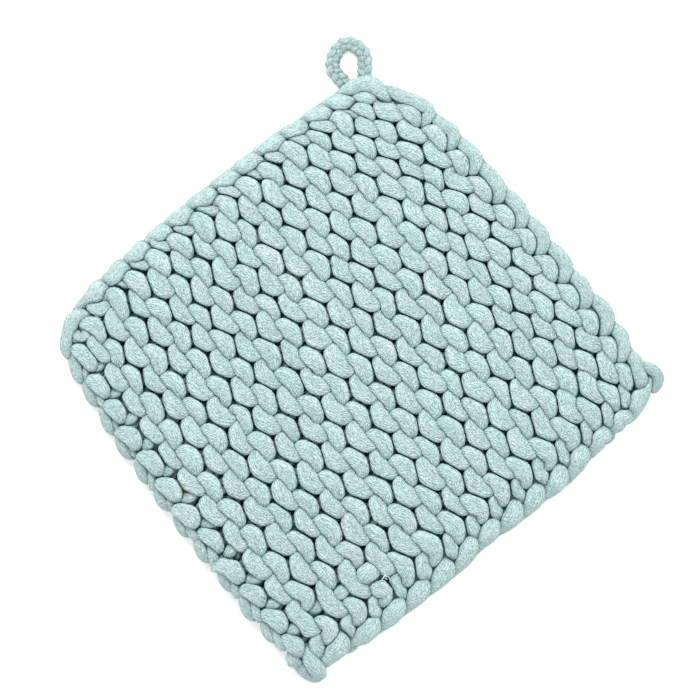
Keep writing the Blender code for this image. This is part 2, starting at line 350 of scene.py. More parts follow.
def left_turn(m):
    """From behind ridge m+1's first head, down the left edge, to ridge m's first
    foot: the cord shows as one slanting stitch along the edge."""
    x1, y1 = (float(v) for v in ridge_middle(m + 1, 0.0))
    x0, y0 = (float(v) for v in ridge_middle(m, 0.0))
    rim = lambda y, inward: rim_x(LEFT_RIM, y) + inward
    c = DEPTH
    if m == ROWS // 2 - 2:                      # the corner: an arc that ends as a head
        return [
            (-75.0, 86.6, -0.45 * c, 3.0),
            (-77.2, 88.2, 0.20 * c, 3.7),
            (-80.6, 89.3, 0.66 * c, 4.0),
            (-84.8, 89.4, 0.88 * c, 4.1),
            (-89.0, 87.6, 0.92 * c, 4.1),
            (-91.6, 83.6, 0.78 * c, 4.0),
            (-92.3, 79.0, 0.48 * c, 3.9),
            (-92.4, 75.2, 0.00 * c, 3.9),
            (-92.8, 72.2, -0.48 * c, 3.4),
            (x0 - 3.4, y0 - 6.6, -0.42 * c, 3.4),
            (x0 - 1.8, y0 - 7.0, 0.10 * c, 3.5),
        ]
    if m == 0:                                  # the bottom corner: one long slant
        return [
            (x1 + 3.4, y1 + 2.6, -0.25 * c, 2.8),
            (x1 + 1.0, y1 + 2.6, 0.25 * c, 3.3),
            (x1 - 0.8, y1 + 0.2, 0.60 * c, 3.8),
            (-93.7, -79.0, 0.52 * c, 4.0),
            (-90.6, -83.4, 0.36 * c, 4.0),
            (-87.0, -87.8, 0.20 * c, 3.9),
            (-83.2, -89.0, 0.06 * c, 3.5),
            (-80.4, -87.2, -0.20 * c, 3.1),
            (-79.6, -85.0, -0.40 * c, 3.0),
        ]
    low_x = max(x0 - 3.4, rim(y0 - 6.8, 3.4))
    pts = [
        (x1 + 3.4, y1 + 2.6, -0.25 * c, 2.8),
        (x1 + 1.0, y1 + 2.9, 0.20 * c, 3.3),
        (x1 - 1.2, y1 + 1.2, 0.66 * c, 3.9),
        (rim(y1 - 3, 4.6), y1 - 3.0, 0.76 * c, 4.2),
        (rim(y0 + 5, 4.2), y0 + 5.2, 0.42 * c, 4.2),
        (rim(y0 + 1, 3.9), y0 + 0.6, -0.08 * c, 3.9),
        (rim(y0 - 3, 3.6), y0 - 3.8, -0.44 * c, 3.7),
        (low_x, y0 - 7.0, -0.40 * c, 3.4),
        (low_x + 1.8, y0 - 7.2, 0.10 * c, 3.5),
    ]
    return pts


def right_turn(m):
    """From ridge m's last foot round the back and up the right edge, to behind
    the end of ridge m's last head."""
    x0, y0 = (float(v) for v in ridge_middle(m, 12.0))
    rim = lambda y, inward: rim_x(RIGHT_RIM, y) - inward
    c = DEPTH
    if m == 0:                                  # hidden behind the cast-on end
        return [
            (x0 + 1.2, y0 - 2.6, 0.0, 3.2),
            (x0 + 2.8, y0 - 0.6, -0.30 * c, 3.2),
            (x0 + 2.2, y0 + 2.6, -0.45 * c, 3.0),
            (x0 - 0.8, y0 + 4.4, -0.45 * c, 2.8),
        ]
    if m == ROWS // 2 - 1:                      # the corner, up under the curled end
        return [
            (x0 + 1.8, 83.4, 0.20 * c, 3.1),
            (93.0, 80.2, -0.42 * c, 3.3),
            (95.4, 77.4, -0.50 * c, 3.5),
            (95.9, 79.0, -0.16 * c, 3.6),
            (95.2, 82.2, 0.30 * c, 4.1),
            (93.8, 85.8, 0.60 * c, 4.6),
            (92.3, 89.6, 0.64 * c, 4.7),
            (91.4, 93.0, 0.44 * c, 4.2),
            (90.2, 96.8, 0.16 * c, 3.9),
            (87.6, 98.8, -0.30 * c, 3.4),
        ]
    top = float(np.interp(m, (4, 11, 13), (7.0, 4.6, 4.0)))
    floor_y = lambda y: max(y, -92.4)
    pts = [
        (x0 + 2.6, y0 - 6.6, 0.25 * c, 3.4),
        (x0 + 4.4, floor_y(y0 - 9.2), -0.35 * c, 3.4),
        (rim(y0 - 13, 4.2), floor_y(y0 - 13.8), -0.60 * c, 3.8),
        (rim(y0 - 14, 3.7), floor_y(y0 - 14.4) + 0.4, -0.30 * c, 3.9),
        (rim(y0 - 10, 4.2), floor_y(y0 - 10.4) + 0.3, -0.06 * c, 3.9),
        (rim(y0 - 6, 4.1), y0 - 6.2, 0.28 * c, 4.1),
        (rim(y0 - 2, 4.2), y0 - 2.0, 0.62 * c, 4.4),
        (rim(y0 + 2, 4.9), y0 + top - 4.8, 0.84 * c, 4.5),
        (x0 + 2.9, y0 + top - 1.0, 0.62 * c, 4.1),
        (x0 + 0.6, y0 + top, 0.0, 3.3),
        (x0 - 2.0, y0 + top - 0.8, -0.35 * c, 2.7),
    ]
    return pts


def turn_path(points):
    """A turn's points as a path, its half height a little under its half width."""
    p = np.array([(x, y, MIDDLE + z, r, r * 0.94) for x, y, z, r in points])
    return read_spline(p, 60)


def top_y(a):
    return float(place(a, 27.5)[1])


def chain_paths():
    """The bind-off: a link for each stitch, in front and behind the top edge."""
    paths = []
    rng = np.random.default_rng(SEED + 5)
    for i in range(2, STITCHES + 1):
        back = 1.0
        x0 = float(place(i - back, 29.0)[0])
        x1 = float(place(i, 29.0)[0])
        y0, y1 = top_y(i - back), top_y(i)
        dy = rng.normal(0, 0.3)
        if i > 10:                              # the edge falls off at the right
            y0, y1 = y0 - 0.9 * (i - 10), y1 - 1.3 * (i - 10)
        if i == 2:                              # the first link lies longer
            x0, y0 = x0 - 8.4, y0 - 3.4
        front = [
            (x0 - 1.6, y0 + 13.0, -1.2, 2.6),
            (x0 + 0.8, y0 + 15.0 + dy, 1.6, 3.2),
            (x0 + 5.2, y0 + 16.1 + dy, 3.0, 3.5),
            (x1 - 4.4, y1 + 15.8 + dy, 3.5, 3.6),
            (x1 - 1.0, y1 + 13.4, 3.6, 3.4),
            (x1 + 0.1, y1 + 10.6, 2.2, 2.7),
            (x1 + 0.4, y1 + 8.4, -0.4, 2.2),
        ]
        behind = [
            (x0 - 1.6, y0 + 13.0, -1.4, 2.5),
            (x0 + 1.6, y0 + 15.2 + dy, -3.2, 2.9),
            (x0 + 6.2, y0 + 16.1 + dy, -4.0, 3.0),
            (x1 - 3.4, y1 + 15.6 + dy, -4.0, 3.0),
            (x1 - 0.6, y1 + 12.4, -3.6, 2.9),
            (x1 + 0.4, y1 + 9.6, -2.0, 2.6),
            (x1 + 0.6, y1 + 7.6, 0.4, 2.4),
        ]
        if i == 2:                              # and tapers to its start
            front[:3] = [(x0 - 2.4, y0 + 11.6, -0.2, 1.3), (x0 + 1.0, y0 + 13.8, 1.6, 2.4),
                         (x0 + 5.6, y0 + 15.9, 2.8, 3.2)]
            behind[:3] = [(x0 - 0.6, y0 + 11.8, -1.0, 1.2), (x0 + 2.6, y0 + 13.6, -2.6, 2.1),
                          (x0 + 6.6, y0 + 15.6, -3.6, 2.8)]
        if i == STITCHES:                       # the last one ends higher
            front = [(x, y + (0, 0, 0, 0, 1.0, 2.2, 3.4)[k], z, r) for k, (x, y, z, r) in enumerate(front)]
        paths += [turn_path(front), turn_path(behind)]
    return paths


def slipped_paths():
    """The short upright stretches of cord that show in the slipped wale."""
    c = DEPTH
    upright = [
        (74.0, -61.5, -0.4 * c, 3.6), (74.1, -58.0, 0.45 * c, 4.5), (74.2, -54.8, 0.92 * c, 5.0),
        (74.4, -51.2, 0.96 * c, 5.0), (74.5, -48.0, 0.60 * c, 4.5), (74.5, -45.4, -0.3 * c, 3.4),
    ]
    lower = [
        (73.0, -71.4, -0.3 * c, 3.0), (73.2, -69.4, 0.45 * c, 3.4), (73.5, -67.2, 0.66 * c, 3.7),
        (73.6, -64.8, 0.40 * c, 3.4), (73.6, -62.4, -0.3 * c, 2.8),
    ]
    lowest = [
        (70.6, -83.4, -0.4 * c, 2.8), (70.9, -80.6, 0.20 * c, 3.2), (71.2, -78.0, 0.30 * c, 3.4),
        (71.4, -75.2, -0.1 * c, 3.0), (71.4, -72.8, -0.4 * c, 2.6),
    ]
    return [turn_path(upright), turn_path(lower), turn_path(lowest)]


def leg_paths():
    """Short upright legs that show in the lowest furrow, left in each head."""
    rng = np.random.default_rng(SEED + 9)
    paths = []
    for a in range(STITCHES):
        x, y = (float(v) for v in place(a + 0.13, 1.5))
        x += rng.normal(0, 0.4)
        slant = rng.normal(0.3, 0.5)
        high = rng.uniform(0.42, 0.66)
        if a == 0:                              # the corner's one slants more
            paths.append(turn_path([
                (-82.4, -77.0, -0.50 * DEPTH, 2.6), (-83.6, -79.0, 0.36 * DEPTH, 3.2),
                (-85.6, -81.2, 0.56 * DEPTH, 3.5), (-87.4, -83.0, 0.30 * DEPTH, 3.0),
                (-88.4, -84.2, -0.50 * DEPTH, 2.4),
            ]))
            continue
        paths.append(turn_path([
            (x - slant, y - 4.8, -1.6, 2.6), (x - slant / 2, y - 1.8, high * DEPTH, 2.9),
            (x + slant / 2, y + 1.2, high * DEPTH, 2.9), (x + slant, y + 4.2, -1.4, 2.6),
        ]))
    return paths


def top_foot():
    """The top row's half foot, slanting inside the corner's arc."""
    c = DEPTH
    return turn_path([
        (-80.4, 87.4, -0.50 * c, 3.0), (-81.6, 85.6, 0.20 * c, 3.6), (-83.8, 83.6, 0.78 * c, 4.2),
        (-86.4, 81.6, 0.80 * c, 4.2), (-88.6, 79.6, 0.30 * c, 3.6), (-89.8, 78.0, -0.50 * c, 2.8),
    ])


def core_paths():
    """Cord that lies inside the edges and closes the gaps between the turns; its colour is painted shadow, set in main.
    """
    paths = []
    for m in range(ROWS // 2):
        for a, inward in ((0.0, 0.6), (float(STITCHES), -0.8)):
            run = []
            spread = (-1.1, -0.55, 0.0, 0.55, 1.1)
            if m == 0:
                spread = (-0.1, 0.2, 0.5, 0.8, 1.1)
            if m == ROWS // 2 - 1:
                spread = (-1.1, -0.9, -0.7, -0.5, -0.3)
            for k in spread:
                x, y = place(a, 2 * m + 0.5 + k)
                if a == 0.0 and m == 0:
                    x = max(x, -90.2 + 2.2 * (-78.0 - y) / 8)
                run.append((float(x) + inward, float(y), MIDDLE - 0.2, 3.5, 1.7))
            paths.append((read_spline(run, 30), m))
    low = [(*(float(v) for v in place(a, 0.55)), MIDDLE - 1.6, 2.6, 1.7) for a in np.linspace(0.3, 11.8, 24)]
    paths.append((read_spline(low, 200), 0))
    for out, z, wide, tall in ((12.6, -0.3, 2.9, 2.4), (15.4, -0.5, 2.9, 2.6)):
        high = [(float(place(a, 29.0)[0]), top_y(a) + out - 1.1 * max(0, a - 10) - 3.4 * max(0, 1.8 - a),
                 MIDDLE + z, wide, tall) for a in np.linspace(0.9, 11.5, 24)]
        paths.append((read_spline(high, 200), ROWS // 2 - 1))
    return paths


def cast_on_paths():
    """The cast-on edge: a short strand under every lowest head, slanting down to
    the right."""
    rng = np.random.default_rng(SEED + 13)
    c = DEPTH
    paths = []
    for a in range(STITCHES - 1):
        x, y = (float(v) for v in place(a + 0.5, 0.82))
        y += rng.normal(0, 0.4)
        x += rng.normal(0, 0.5)
        if a == 0:
            x, y = x + 2.2, y - 0.8
        if a == STITCHES - 2:
            y += 0.6
        r = rng.uniform(2.9, 3.2)
        paths.append(turn_path([
            (x - 8.4, y + 0.4, -0.45 * c, r * 0.80), (x - 6.2, y - 1.6, 0.00 * c, r * 0.95),
            (x - 2.4, y - 4.2, 0.30 * c, r), (x + 2.0, y - 6.1, 0.26 * c, r * 1.04),
            (x + 5.4, y - 6.0, -0.02 * c, r), (x + 7.8, y - 3.4, -0.55 * c, r * 0.85),
        ]))
    return paths


LOOSE_FIBRES = (         # a tuft of pale fibres caught in the slipped wale: x, y, z
    ((79.4, -45.1, 12.9), (79.8, -46.2, 13.9), (80.3, -47.6, 14.5), (80.7, -49.3, 14.7)),
    ((79.7, -45.9, 13.7), (80.7, -46.4, 14.2), (81.7, -45.7, 14.0), (82.6, -46.0, 13.9), (83.2, -45.5, 13.7)),
    ((80.6, -47.1, 14.3), (81.4, -47.2, 14.0), (82.2, -46.7, 13.6)),
)
STAINS = (               # x, y, half width, half height, strength
    (-4.0, -90.2, 1.2, 2.2, 1.0), (-92.9, -73.9, 0.9, 1.1, 0.45),
)


def fibre_surfaces():
    """The loose fibres, each a hair-thin round tube."""
    surfaces = []
    theta = np.arange(AROUND) * 2 * math.pi / AROUND
    for line in LOOSE_FIBRES:
        p = read_spline(line, 14)
        _, e1, e2 = frames(p)
        ring = e1[:, None, :] * np.cos(theta)[None, :, None] + e2[:, None, :] * np.sin(theta)[None, :, None]
        thin = 0.17 * np.sin(np.linspace(0.35, math.pi - 0.35, len(p)))
        s = np.concatenate([[0], np.cumsum(np.linalg.norm(np.diff(p, axis=0), axis=1))])
        surfaces.append((p[:, None, :] + ring * thin[:, None, None], s, np.zeros((len(p), AROUND)), p))
    return surfaces


LOOP_COURSE = (          # middle line of the hanging loop's cord: x, y, z
    (-90.6, 86.6, 3.4), (-93.0, 88.2, 3.2), (-95.6, 90.8, 3.1), (-99.8, 94.2, 3.0), (-104.0, 94.9, 3.0),
    (-108.8, 92.9, 3.0), (-110.0, 88.6, 3.0), (-108.6, 84.0, 3.0), (-104.8, 80.3, 3.0),
    (-99.6, 80.0, 3.1), (-94.9, 80.2, 3.2), (-91.6, 80.6, 3.4),
)
LOOP_WIDE = 0.85         # how far its strands swing sideways, up and down
LOOP_HIGH = 0.42
LOOP_STRAND = 2.85       # half width of one of its strands
LOOP_TURN = 10.0         # length of one full crossing of a strand


def loop_paths():
    """The hanging loop: three strands crossing as in a thin knitted cord."""
    line = read_spline([(*p, 0, 0) for p in LOOP_COURSE], 400)[:, :3]
    d = np.gradient(line, axis=0)
    d /= np.linalg.norm(d, axis=1)[:, None]
    side = np.cross(np.array([0, 0, 1.0]), d)
    side /= np.linalg.norm(side, axis=1)[:, None]
    s = np.concatenate([[0], np.cumsum(np.linalg.norm(np.diff(line, axis=0), axis=1))])
    paths = []
    for k in range(3):
        phase = 2 * math.pi * (s / LOOP_TURN + k / 3)
        wobble = 1 + 0.10 * np.sin(s * 1.3 + 2 * k)
        p = line + side * (LOOP_WIDE * wobble * np.sin(phase))[:, None]
        p[:, 2] += LOOP_HIGH * np.sin(2 * phase)
        r = LOOP_STRAND * (1 + 0.05 * np.sin(s * 2.1 + k))
        paths.append(np.stack([p[:, 0], p[:, 1], p[:, 2], r, r * 0.92], 1))
    return paths


CURLED_END = (           # x, y, z, half width
    (81.0, 96.0, 6.6, 2.5), (83.0, 98.6, 8.8, 2.8), (85.8, 100.9, 9.8, 2.85), (88.8, 101.9, 9.8, 2.8),
    (91.4, 101.4, 9.2, 2.7), (93.2, 99.6, 8.2, 2.65), (93.9, 97.2, 7.0, 2.55), (93.6, 95.2, 6.0, 2.35),
)
STUB = (
    (80.4, -93.2, 5.0, 3.0), (83.6, -94.4, 8.2, 3.5), (87.4, -95.4, 10.0, 4.0), (91.4, -95.7, 9.8, 4.1),
    (94.2, -96.8, 7.8, 3.8), (93.2, -99.2, 5.6, 3.4), (90.0, -100.2, 5.4, 3.6), (86.4, -100.5, 6.4, 3.9),
    (82.8, -100.2, 6.4, 3.8), (79.8, -98.8, 4.6, 3.0),
)


def end_path(points):
    p = np.array([(x, y, z, r, r * 0.94) for x, y, z, r in points])
    return read_spline(p, 120)


# ---- cord surface ------------------------------------------------------------
def along(path):
    """Sections of a path at even steps, closer where the cord shows."""
    p = path[:, :3]
    d = np.linalg.norm(np.diff(p, axis=0), axis=1)
    hidden = (np.abs(p[:, 2] - MIDDLE) < 1.5) & (path[:, 3] > 3.6)
    step = np.where(hidden[:-1], STEP_HIDDEN, np.minimum(STEP, path[:-1, 3] * 0.36))
    cost = np.concatenate([[0], np.cumsum(d / step)])
    s = np.concatenate([[0], np.cumsum(d)])
    count = max(6, int(round(cost[-1])) + 1)
    at = np.linspace(0, cost[-1], count)
    out = np.stack([np.interp(at, cost, path[:, k]) for k in range(5)], 1)
    return out, np.interp(at, cost, s)


def frames(p):
    """Two directions across the path at each section, carried along without turning."""
    t = np.gradient(p, axis=0)
    t /= np.linalg.norm(t, axis=1)[:, None]
    e = np.zeros_like(p)
    v = np.array([0, 0, 1.0]) - t[0] * t[0][2]
    e[0] = v / np.linalg.norm(v)
    for i in range(1, len(p)):
        v = e[i - 1] - t[i] * np.dot(e[i - 1], t[i])
        e[i] = v / np.linalg.norm(v)
    return t, e, np.cross(t, e)


def soft_min(a, b, k):
    h = np.clip(0.5 + 0.5 * (b - a) / k, 0, 1)
    return b * (1 - h) + a * h - k * h * (1 - h)


def cord_surfaces(paths, rows, rng):
    """For each path its rings of points, and the painted shade of each point: how much of the nearby cord faces and
    hides it, which later darkens its colour. No stretch of cord passes the plane midway to the next one."""
    sections = [along(p) for p in paths]
    centres = np.concatenate([s[0][:, :3] for s in sections])
    areas = np.concatenate(
        [np.gradient(length) * 2 * sec[:, 3] for sec, length in sections]
    )
    tree = KDTree(len(centres))
    for i, c in enumerate(centres):
        tree.insert(c, i)
    tree.balance()
    row_of = np.concatenate([np.full(len(sec), r) for (sec, _), r in zip(sections, rows)])
    # what lies near a face takes more room than what passes behind it
    proud = np.clip(np.abs(centres[:, 2] - MIDDLE) / DEPTH, 0, 1)
    proud[row_of == -2] = 0
    # the edge's own strands lie close to the heads beside them
    inner = (centres[:, 0] - np.interp(centres[:, 1], *zip(*LEFT_RIM)) > 7.0) & (
        np.interp(centres[:, 1], *zip(*RIGHT_RIM)) - centres[:, 0] > 7.0
    )
    theta = np.arange(AROUND) * 2 * math.pi / AROUND
    cos, sin = np.cos(theta), np.sin(theta)
    surfaces = []
    start = 0
    for (sec, s), row in zip(sections, rows):
        p = sec[:, :3]
        n = len(p)
        _, e1, e2 = frames(p)
        dirs = e1[:, None, :] * cos[None, :, None] + e2[:, None, :] * sin[None, :, None]
        dz2 = dirs[:, :, 2] ** 2
        free = 1 / np.sqrt((1 - dz2) / sec[:, 3:4] ** 2 + dz2 / sec[:, 4:5] ** 2)
        free *= 1 + 0.022 * np.sin(
            s[:, None] * 0.55 + 2 * theta[None, :] + rng.uniform(0, 6)
        ) + 0.014 * np.sin(s[:, None] * 1.1 - 3 * theta[None, :] + rng.uniform(0, 6))
        room = np.full((n, AROUND), 50.0)
        nears = []
        for i in range(n):
            near = [k for _, k, _ in tree.find_range(p[i], 10.6) if abs(k - start - i) > 1 or k < start or k >= start + n]
            q = centres[near] - p[i]
            dist2 = np.einsum("ij,ij->i", q, q)
            toward = dirs[i] @ q.T
            side = 0 if p[i][2] > MIDDLE else 1
            other = row_of[near]
            furrow = FURROW_SPLIT * np.interp(p[i][1], (-90, -50, 0, 90), (1.40, 1.35, 1.15, 1.10))
            furrow *= 1 + 0.32 * math.sin(0.11 * p[i][0] + 2.1 * round(p[i][1] / 13.3))
            furrow *= 1.50 - 0.92 * proud[start + i] ** 2
            near = np.array(near, int)
            across = (row >= 0) & (other >= 0) & ((other + side) // 2 != (row + side) // 2)
            gain = np.where(across, PROUD * (proud[start + i] - proud[near]), 0.0)
            split = np.where(across & inner[near] & inner[start + i], furrow, SPLIT)
            if not inner[start + i] and row >= 0:
                split = np.where(~inner[near] & (other != row) & ((other - row) % 2 == 0), EDGE_SPLIT, split)
            if row == -2:                       # the loop's strands sink into each other
                split = np.where(other == -2, -0.6, split)
            if row == 0:                        # the lowest heads stand apart
                split = np.where(other == 0, 0.9, split)
            t = np.where(
                toward > 0.05,
                (dist2 + np.maximum(gain, -0.5 * dist2))[None, :] / (2 * np.maximum(toward, 0.05)) - split[None, :] / 2,
                50.0,
            )
            room[i] = t.min(axis=1)
            nears.append(near)
        reach = soft_min(free, np.maximum(room, 0.3), 0.6)
        reach = np.maximum(reach, 0.22 * free)
        for _ in range(2):
            blur = reach.copy()
            blur[1:-1] = 0.64 * reach[1:-1] + 0.18 * (reach[:-2] + reach[2:])
            blur = 0.76 * blur + 0.12 * (np.roll(blur, 1, 1) + np.roll(blur, -1, 1))
            reach = blur
        ends = np.ones(n)
        ends[0] = ends[-1] = 0.45
        ends[1] = ends[-2] = 0.85
        rings = p[:, None, :] + dirs * (reach * ends[:, None])[:, :, None]
        low = rings[:, :, 2]
        rings[:, :, 2] = np.where(low < 0.5, 0.05 + 0.45 * np.exp((low - 0.5) / 0.45), low)
        # painted shade: for each ring point, how much nearby cord faces it, which darkens its colour in creases and
        # furrows
        shade = np.zeros((n, AROUND))
        for i in range(n):
            gap = centres[nears[i]][None, :, :] - rings[i][:, None, :]
            dist = np.maximum(np.sqrt(np.einsum("ijk,ijk->ij", gap, gap)), 2.4)
            facing = np.clip(np.einsum("ijk,ik->ij", gap, dirs[i]) / dist, 0, 1)
            shade[i] = (facing * areas[nears[i]] / dist**2).sum(axis=1) / math.pi
        if row == -2:                           # the loop's strands hardly shade each other
            shade *= 0.25
        if row >= 0:                            # painted shade: deep down between the rows the colour is darkened further
            deep = np.clip((2.7 - np.abs(rings[:, :, 2] - MIDDLE)) / 2.0, 0, 1)
            shade += 0.6 * deep * np.clip((shade - 0.45) / 0.4, 0, 1)
            # painted light: the painted shade is lessened on the upward and downward faces of the legs that cross
            # behind the heads, as they still catch some light from above
            leg = np.clip((0.95 - proud[start : start + n]) / 0.35, 0, 1)[:, None]
            shade *= 1 - 0.72 * leg * np.clip((np.abs(dirs[:, :, 2]) - 0.3) / 0.4, 0, 1)
        surfaces.append((rings, s, shade, p))
        start += n
    return surfaces


def cord_mesh(name, surfaces, material, lengths=None):
    """One mesh of several stretches of cord, with the yarn's own coordinates and
    an unrolled strip for each stretch."""
    verts, faces, uv, painted_shade_rows = [], [], [], []
    strip = []
    base = 0
    total = sum(s[-1] for _, s, _, _ in surfaces)
    girth = 24.0
    side = math.sqrt(total * girth * 1.25)
    across = max(1, math.ceil(side / (girth * 1.2)))
    lane = total / across * 1.06 + 12
    cursor_row, cursor_x = 0, 0.0
    offset = 0.0
    ys = 1.0 / (across + 2)
    for rings, s, pr, p in surfaces:
        n = len(rings)
        verts.append(rings.reshape(-1, 3))
        painted_shade_rows.append(pr.reshape(-1))
        x = cursor_x
        row = cursor_row
        for i in range(n - 1):
            ds = s[i + 1] - s[i]
            if x + ds > lane:
                row += 1
                x = 0.0
            ua, ub = s[i] + offset, s[i + 1] + offset
            xa, xb = x / lane * 0.996 + 0.002, (x + ds) / lane * 0.996 + 0.002
            for k in range(AROUND):
                l = (k + 1) % AROUND
                faces.append(
                    (base + i * AROUND + k, base + i * AROUND + l, base + (i + 1) * AROUND + l, base + (i + 1) * AROUND + k)
                )
                va, vb = k / AROUND, (k + 1) / AROUND
                uv.append((ua, va, ua, vb, ub, vb, ub, va))
                ya = (row + 0.03 + 0.94 * va) * ys
                yb = (row + 0.03 + 0.94 * vb) * ys
                strip.append((xa, ya, xa, yb, xb, yb, xb, ya))
            x += ds
        # closed ends
        for i, order in ((0, 1), (n - 1, -1)):
            ring = [base + i * AROUND + k for k in range(AROUND)]
            faces.append(tuple(ring if order < 0 else ring[::-1]))
            ang = np.arange(AROUND) * 2 * math.pi / AROUND
            if order > 0:
                ang = ang[::-1]
            u0 = s[i] + offset
            uv.append(tuple(v for a in ang for v in (u0 + 0.5 * math.cos(a), 0.5 + 0.05 * math.sin(a))))
            cx = (x + 3 + (4 if order < 0 else 0)) / lane * 0.996 + 0.002
            strip.append(tuple(v for a in ang for v in (cx + 1.2 * math.cos(a) / lane, (row + 0.5 + 0.10 * math.sin(a)) * ys)))
        cursor_x = x + 10
        cursor_row = row
        if cursor_x > lane - 12:
            cursor_row += 1
            cursor_x = 0.0
        base += n * AROUND
        offset += s[-1] + 37.0
    rows_used = cursor_row + 1
    mesh = bpy.data.meshes.new(name)
    mesh.from_pydata((np.concatenate(verts) * MM).tolist(), [], faces)
    layer = mesh.uv_layers.new(name="yarn")
    layer.data.foreach_set("uv", np.concatenate([np.array(u, np.float32) for u in uv]))
    bake = mesh.uv_layers.new(name="OFBake")
    flat = np.concatenate([np.array(u, np.float32) for u in strip]).reshape(-1, 2)
    flat[:, 1] *= (across + 2) / (rows_used + 0.02)
    bake.data.foreach_set("uv", flat.reshape(-1))
    # the painted shade of each point, by which the material darkens the colour
    mesh.attributes.new("painted_shade", "FLOAT", "POINT").data.foreach_set("value", np.concatenate(painted_shade_rows).astype(np.float32))
    at = np.concatenate(verts)
    stain = np.zeros(len(at))
    for x, y, wide, tall, strength in STAINS:
        stain += strength * np.exp(-(((at[:, 0] - x) / wide) ** 2) - ((at[:, 1] - y) / tall) ** 2)
    mesh.attributes.new("stain", "FLOAT", "POINT").data.foreach_set("value", stain.astype(np.float32))
    mesh.shade_smooth()
    mesh.materials.append(material)
    mesh.update()
    obj = bpy.data.objects.new(name, mesh)
    bpy.context.scene.collection.objects.link(obj)
    return obj


